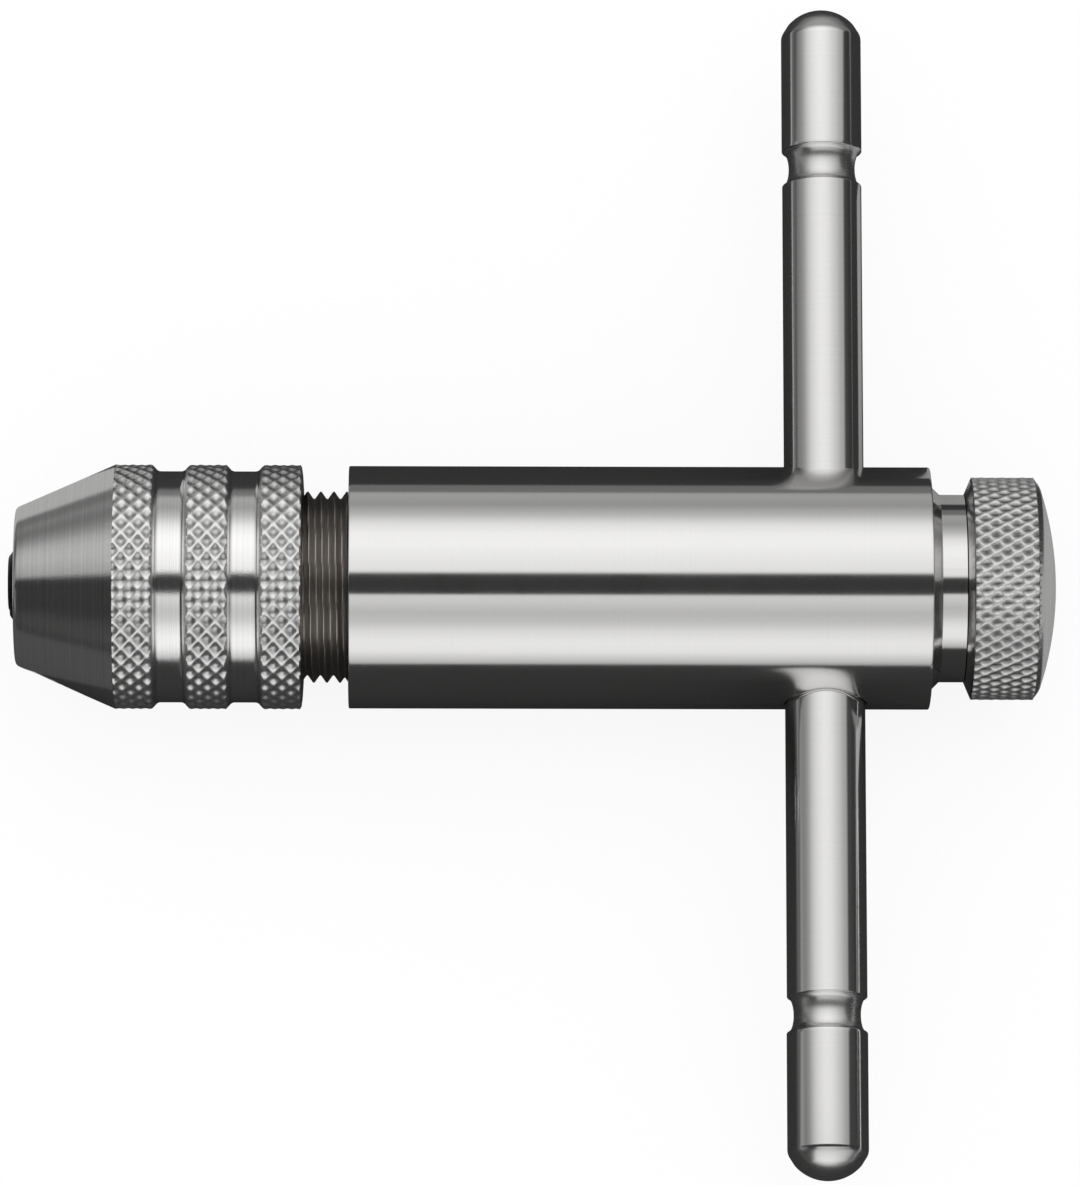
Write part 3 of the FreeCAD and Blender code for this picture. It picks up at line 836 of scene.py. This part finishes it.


# %% [markdown]
# ## Metal finishes
# A turned surface is never a plain mirror. The tool leaves very fine lines round the piece, so the
# finish varies along the axis and is the same all the way round it. A picture of brushed steel
# would need unwrapping, so each finish takes noise of the place along the axis only, and uses it a
# little in the colour, the roughness and the relief. The knurl is frosted, and shade is painted
# into its colour: darker in its pits, and a little darker on the cone and the dome. The bar's
# turned grooves and domes are duller than its ground length.

# %% Where the knurl lies
soft_edge = 0.1 * MM


def knurl_at(place):
    """How deep a place lies below the knurl's crest, in units of the knurl's depth, and 1 in the
    knurled bands' range along the axis."""
    x, y, z = (place.part(axis) for axis in range(3))
    radius = (y * y + z * z).maths("POWER", 0.5)
    crest = x.ramp(sleeve_rear, knob_front, sleeve_radius, knob_radius)
    starts = x.ramp(nose_length, nose_length + soft_edge, 0.0, 1.0)
    ends = x.ramp(grip_rear, grip_rear + soft_edge, 1.0, 0.0)
    return (crest - radius) / knurl_depth, starts * ends


def above_grooves(depth):
    """1 as deep as the knurl goes, and 0 from a little below it, as in the grooves."""
    return depth.ramp(1.05, 1.35, 1.0, 0.0)


# %% How the finishes change with the place
# Each pair of values is for the sleeve and for the knob.
# The share of the colour that the painted shade takes at the bottom of the pits.
pit_painted_shade = (0.28, 0.84)
# The share of the colour that the cone and the dome keep, a plain painted shade over both.
cone_painted_shade = 0.9
knurl_frost = (0.2, 0.3)
knob_dome_dull = 0.14
bar_groove_dull = 0.16
bar_dome_dull = 0.13


def knurl_painted_shade(place):
    """Painted shade: how much of the colour is left. It is less at the bottom of the pits, more so
    on the knob, and a little less on the cone and the dome than in the bands."""
    depth, banded = knurl_at(place)
    # Painted shade in the pits, deepest at their bottom and left out of the grooves.
    dark = place.part(0).ramp(sleeve_rear, knob_front, *pit_painted_shade) * banded
    pits_only = depth.ramp(0.3, 1.0, 0.0, 1.0) * above_grooves(depth)
    # The cone and the dome get a little painted shade all over.
    return banded.ramp(0.0, 1.0, cone_painted_shade, 1.0) * (1 - dark * pits_only)


def knurl_dullness(place):
    """A rolled knurl is frosted, and the turned cone and grooves beside it are not. The knob's
    dome is a little dull as well."""
    depth, banded = knurl_at(place)
    x = place.part(0)
    frosted = x.ramp(sleeve_rear, knob_front, *knurl_frost) * (above_grooves(depth) * banded)
    return frosted + x.ramp(grip_rear, grip_rear + soft_edge, 0.0, knob_dome_dull)


def bar_dullness(place):
    """The bar's grooves and domes are turned and not ground, so they are rougher than the rest."""
    y = place.part(1).maths("ABSOLUTE")
    off = (y - bar_groove).maths("ABSOLUTE")
    dome_start = bar_half - bar_dome
    in_groove = off.ramp(bar_groove_half - soft_edge, bar_groove_half, bar_groove_dull, 0.0)
    on_dome = y.ramp(dome_start - 2 * soft_edge, dome_start + soft_edge, 0.0, bar_dome_dull)
    return in_groove + on_dome


# %% Make a metal with lines along one axis
# Most of a noise lies in this span. Each noise has a detail and, but for the broad one, a
# roughness.
noise_span = (0.3, 0.7)
line_noise = (5.0, 0.75)
broad_scale, broad_detail = 150.0, 2.0
broad_change = (-0.01, 0.015)
grain_scale = 9000.0
grain_noise = (4.0, 0.7)


def metal(name, colour, roughness, lines, scatter, darker=0.93, scale=4000.0, axis=0, grain=0.0,
          tone=None, dullness=None):
    """lines is the height of the turning lines in metres, scale how close they lie, scatter how
    much the roughness varies and darker how much of the colour is left in the lines. grain is the
    height of a fine relief that has no direction. The last two change the colour and the roughness
    with the place: the first paints shade into the colour, and the second dulls the finish."""
    material = bpy.data.materials.new(name)
    material.use_nodes = True
    tree = material.node_tree
    shader = tree.nodes["Principled BSDF"]
    shader.inputs["Metallic"].default_value = 1.0
    place = Socket(tree, tree.nodes.new("ShaderNodeTexCoord").outputs["Object"])
    along = place.part(axis)
    line = place.node("ShaderNodeCombineXYZ", (), {0: along}).noise(scale, *line_noise)
    broad = place.noise(broad_scale, broad_detail)
    rough = line.ramp(*noise_span, roughness - scatter, roughness + scatter)
    rough = rough + broad.ramp(*noise_span, *broad_change)
    if dullness:
        rough = rough + dullness(place)
    tree.links.new(rough.output, shader.inputs["Roughness"])
    dark = [c * darker for c in colour]
    tint = line.ramp(*noise_span, 0.0, 1.0).blend((*dark, 1), (*colour, 1))
    # Painted shade: the colour is blended towards black where the place asks for it.
    if tone:
        tint = tone(place).blend((0, 0, 0, 1), tint)
    tree.links.new(tint.output, shader.inputs["Base Color"])
    height = line * lines
    if grain:
        height = height + place.noise(grain_scale, *grain_noise) * grain
    relief = {"Strength": 1.0, "Distance": 1.0, "Height": height}
    bump = place.node("ShaderNodeBump", (), relief)
    tree.links.new(bump.output, shader.inputs["Normal"])
    return material


# %% The seven finishes
recipes = {
    "turned_steel": dict(colour=(0.78, 0.775, 0.765), roughness=0.1, lines=1e-6, scatter=0.015,
                         darker=0.97),
    "knurled_steel": dict(colour=(0.98, 0.975, 0.965), roughness=0.12, lines=4e-6, scatter=0.03,
                          darker=0.76, grain=4e-6, tone=knurl_painted_shade, dullness=knurl_dullness),
    "ground_steel": dict(colour=(0.79, 0.785, 0.775), roughness=0.11, lines=3e-7, scatter=0.02,
                         darker=0.95, scale=3000.0, axis=1, dullness=bar_dullness),
    "spindle_steel": dict(colour=(0.42, 0.395, 0.37), roughness=0.33, lines=2e-6, scatter=0.05,
                          darker=0.75),
    "jaw_steel": dict(colour=(0.026, 0.026, 0.028), roughness=0.45, lines=1e-6, scatter=0.05,
                      darker=0.8),
    "hard_steel": dict(colour=(0.5, 0.49, 0.48), roughness=0.25, lines=1e-6, scatter=0.05),
    "spring_steel": dict(colour=(0.62, 0.61, 0.6), roughness=0.22, lines=0.0, scatter=0.03),
}
finishes = {name: metal(name, **recipe) for name, recipe in recipes.items()}
print("finishes:", sorted(finishes))

# %% Give every piece and every shown CAD node its finish
slot_of = {part["node"]: part["material_slot"] for part in frame["record"]["subparts"]}
for piece in [o for o in bpy.data.objects if o.type == "MESH"]:
    finish = piece.get("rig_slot") or slot_of[piece["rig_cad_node"]]
    if not piece.hide_render:
        piece.data.materials.clear()
        piece.data.materials.append(finishes[finish])
        print(piece.name, "is", finish)

# %% [markdown]
# ## Floor and soft light
# The tool lies on a plain white floor under even light. Polished steel shows only what surrounds
# it. Lamps alone would leave it black between their reflections, so a photographer hangs a white
# cloth round it, lit more in some places than in others, with a slot that the lens looks through,
# and lays dark cards on the table on both sides of it. The cloth and the cards are seen in the
# metal but not by the camera.

# %% A sheet on the table
def flat_sheet(name, low, high, z, grey, pure_white=0.0):
    """A level sheet between two corners. pure_white is how much of it is plain white to the camera
    and in metal and glass, whatever light falls on it. The rest is matt and takes shadows."""
    mesh = bpy.data.meshes.new(name)
    (left, near), (right, far) = low, high
    corners = [(left, near, z), (right, near, z), (right, far, z), (left, far, z)]
    mesh.from_pydata(corners, [], [(0, 1, 2, 3)])
    sheet = bpy.data.objects.new(name, mesh)
    bpy.context.scene.collection.objects.link(sheet)
    material = bpy.data.materials.new(name)
    material.use_nodes = True
    tree = material.node_tree
    tree.nodes.clear()
    path = tree.nodes.new("ShaderNodeLightPath")
    camera, glossy, through = (Socket(tree, path.outputs["Is %s Ray" % kind])
                               for kind in ("Camera", "Glossy", "Transmission"))
    matte = camera.node("ShaderNodeBsdfDiffuse", (), {"Color": (grey, grey, grey, 1)})
    white = camera.node("ShaderNodeEmission", (), {"Color": (1, 1, 1, 1), "Strength": 1.0})
    seen = (camera + glossy + through) * pure_white
    both = camera.node("ShaderNodeMixShader", (), {0: seen, 1: matte, 2: white})
    end = tree.nodes.new("ShaderNodeOutputMaterial")
    tree.links.new(both.output, end.inputs["Surface"])
    mesh.materials.append(material)
    return sheet


# %% The floor and the dark cards
floor_z = cad_box[0].z - 0.02 * MM
floor_half = 3
floor_grey = 0.95
floor_white = 0.88
card_z = floor_z + 0.05 * MM
black = 0.038
# The cards' edges. The floor shows between near_side and near_rear.
room = 2
near_y, far_y, knob_y, back_y = -0.0075, 0.0115, 0.038, 0.085
left_x, nose_x, knob_x, dome_x, behind_x = -0.025, 0.005, 0.0747, 0.0835, 0.087
gap_left, gap_right = 0.1175, 0.129
# Each card's name, its two corners in X and Y, and its grey.
cards = [
    ("near_front", (-room, -room), (0, 0), 0.08),
    ("near_side", (0, -room), (gap_left, near_y), black),
    ("near_rear", (gap_right, -room), (room, near_y), black),
    ("far_front", (left_x, 0), (nose_x, back_y), 0.45),
    ("far_left", (-room, 0), (left_x, back_y), 0.15),
    ("under", (nose_x, near_y), (dome_x, far_y), 0.05),
    ("rear", (dome_x, near_y), (room, far_y), 0.41),
    ("far_side", (nose_x, far_y), (knob_x, back_y), black),
    ("far_knob", (knob_x, far_y), (behind_x, knob_y), 0.34),
    ("far_knob_back", (knob_x, knob_y), (behind_x, back_y), black),
    ("far_rear", (behind_x, far_y), (room, back_y), black),
    ("far_back", (-room, back_y), (room, room), 0.16)]
flat_sheet("floor", (-floor_half, -floor_half), (floor_half, floor_half), floor_z, floor_grey,
           floor_white)
for name, low, high, grey in cards:
    card = flat_sheet("card_" + name, low, high, card_z, grey)
    card.visible_camera = card.visible_diffuse = card.visible_shadow = False
print("floor at", round(floor_z / MM, 2), "mm and", len(cards), "cards")

# %% The cloth: brightness by direction
across = [(-180, .04), (-98, .05), (-86, .48), (-75, .72), (-65, .74), (-55, .65), (-45, .48),
          (-36, .43), (-26, .53), (-19.6, .58), (-19.2, .03), (1.2, .03), (1.6, .70), (10, .72),
          (20, .77), (30, .82), (40, .80), (50, .69), (61, .42), (73, .26), (86, .31), (102, .17),
          (121, .03), (180, .03)]
along = [(-90, .25), (-74, .235), (-69, .185), (-65, .195), (-60, .23), (-54, .285), (-46, .42),
         (-37, .57), (-27, .68), (-18, .75), (-8, .80), (0, .80), (10, .77), (19, .70), (28, .60),
         (38, .51), (48, .38), (58, .31), (62, .05), (80, .04)]
# Both curves are shares of the cloth's light. The second one's highest is 0.8.
cloth_light = 1.39 / 0.8
cloth_least = 0.042


def fade(angle, start, end, first, last):
    """Linear in an angle, from first at start to last at end, both ends in degrees."""
    return angle.ramp(math.radians(start), math.radians(end), first, last)


def grey_curve(angle, stops, limit):
    """A number that follows the stops, pairs of degrees and grey. The angle's range from minus to
    plus the limit becomes 0 to 1 on the ramp."""
    places = [((degrees + limit) / (2 * limit), grey) for degrees, grey in stops]
    turn = fade(angle, -limit, limit, 0.0, 1.0)
    ramp = turn.node("ShaderNodeValToRGB", {"stops": places}, {"Fac": turn})
    return ramp.node("ShaderNodeSeparateColor", (), {"Color": ramp})


# %% The cloth's material
# The shade before the nose. It fades in and out at these degrees along the tool, its low part
# ends and its high part begins at these degrees round it, and each takes its share of the light.
shade_rear = (-36, -30)
shade_front = (-64, -56)
shade_low = (1.2, 1.6)
low_share = 0.88
shade_high = (25, 80)
high_share = 0.3


def cloth_material():
    """Light that is the product of a curve of the angle round the tool and one of the angle along
    it. In front of the nose a shade takes some of it away, low on the near side most of all."""
    material = bpy.data.materials.new("cloth")
    material.use_nodes = True
    tree = material.node_tree
    tree.nodes.clear()
    place = Socket(tree, tree.nodes.new("ShaderNodeTexCoord").outputs["Object"])
    x, y, z = (place.part(axis) for axis in range(3))
    turn = y.maths("ARCTAN2", z)
    lean = x.maths("ARCTAN2", (y * y + z * z).maths("POWER", 0.5))
    light = grey_curve(turn, across, 180) * grey_curve(lean, along, 90) * cloth_light
    front = fade(lean, *shade_rear, 1.0, 0.0) * fade(lean, *shade_front, 0.0, 1.0)
    low = fade(turn, *shade_low, 1.0, 0.0)
    high = fade(turn, *shade_high, 0.0, 1.0)
    light = light * (1 - front * (low_share * low + high_share * high))
    light = light.maths("MAXIMUM", cloth_least)
    glow = place.node("ShaderNodeEmission", (), {"Color": (1, 1, 1, 1), "Strength": light})
    end = tree.nodes.new("ShaderNodeOutputMaterial")
    tree.links.new(glow.output, end.inputs["Surface"])
    material.cycles.emission_sampling = "NONE"
    return material


# %% Hang the cloth round the tool
cloth_radius = 2.0
angle = np.linspace(0, np.pi, 33)
stations, radii = -cloth_radius * np.cos(angle), cloth_radius * np.sin(angle) + 1e-6
vertices, faces = capped(turned(stations, radii, 64))
mesh = bpy.data.meshes.new("cloth")
mesh.from_pydata(vertices.tolist(), [], faces)
mesh.materials.append(cloth_material())
cloth = bpy.data.objects.new("cloth", mesh)
cloth.location = ((cad_box[0].x + cad_box[1].x) / 2, 0, 0)
cloth.visible_camera = cloth.visible_diffuse = False
cloth.visible_shadow = cloth.visible_transmission = False
bpy.context.scene.collection.objects.link(cloth)
print("cloth of", len(faces), "faces at", cloth_radius, "m")

# %% Even white light and one soft lamp
world = bpy.data.worlds.new("white")
world.use_nodes = True
background = world.node_tree.nodes["Background"]
background.inputs["Color"].default_value = (1, 1, 1, 1)
background.inputs["Strength"].default_value = 1.0
bpy.context.scene.world = world
lamp = bpy.data.objects.new("soft_lamp", bpy.data.lights.new("soft_lamp", "AREA"))
lamp.data.energy = 0.6
lamp.data.size = 0.5
lamp.location = (0.12, 0.25, 0.6)
lamp.rotation_mode = "QUATERNION"
lamp.rotation_quaternion = lamp.location.to_track_quat("Z", "Y")
lamp.visible_glossy = False
bpy.context.scene.collection.objects.link(lamp)
print("lamp of", round(lamp.data.energy, 2), "W at", [round(c, 2) for c in lamp.location])

# %% [markdown]
# ## Camera
# The photograph looks down at the tool from a little in front. Its far and near edges hardly
# spread, so the lens was long: the shift of the near rims against the outline puts it about 0.76 m
# away. A camera with no perspective would be simpler, but would lose that shift.

# %% Place the camera
elevation = math.radians(77.5)
distance = 0.764
view_width = 0.096
target = Vector((0.04245, -0.0004, 0))
stand = Vector((0.0344, -distance * math.cos(elevation), distance * math.sin(elevation)))
camera = bpy.data.objects.new("camera", bpy.data.cameras.new("camera"))
camera.data.sensor_width = 36
camera.data.lens = camera.data.sensor_width * distance / view_width
camera.location = stand
back = (stand - target).normalized()
right = Vector((0, 1, 0)).cross(back).normalized()
camera.rotation_mode = "QUATERNION"
camera.rotation_quaternion = Matrix((right, back.cross(right), back)).transposed().to_quaternion()
bpy.context.scene.collection.objects.link(camera)
bpy.context.scene.camera = camera
bpy.context.scene.view_settings.view_transform = "Standard"
print("lens of", round(camera.data.lens, 1), "mm")
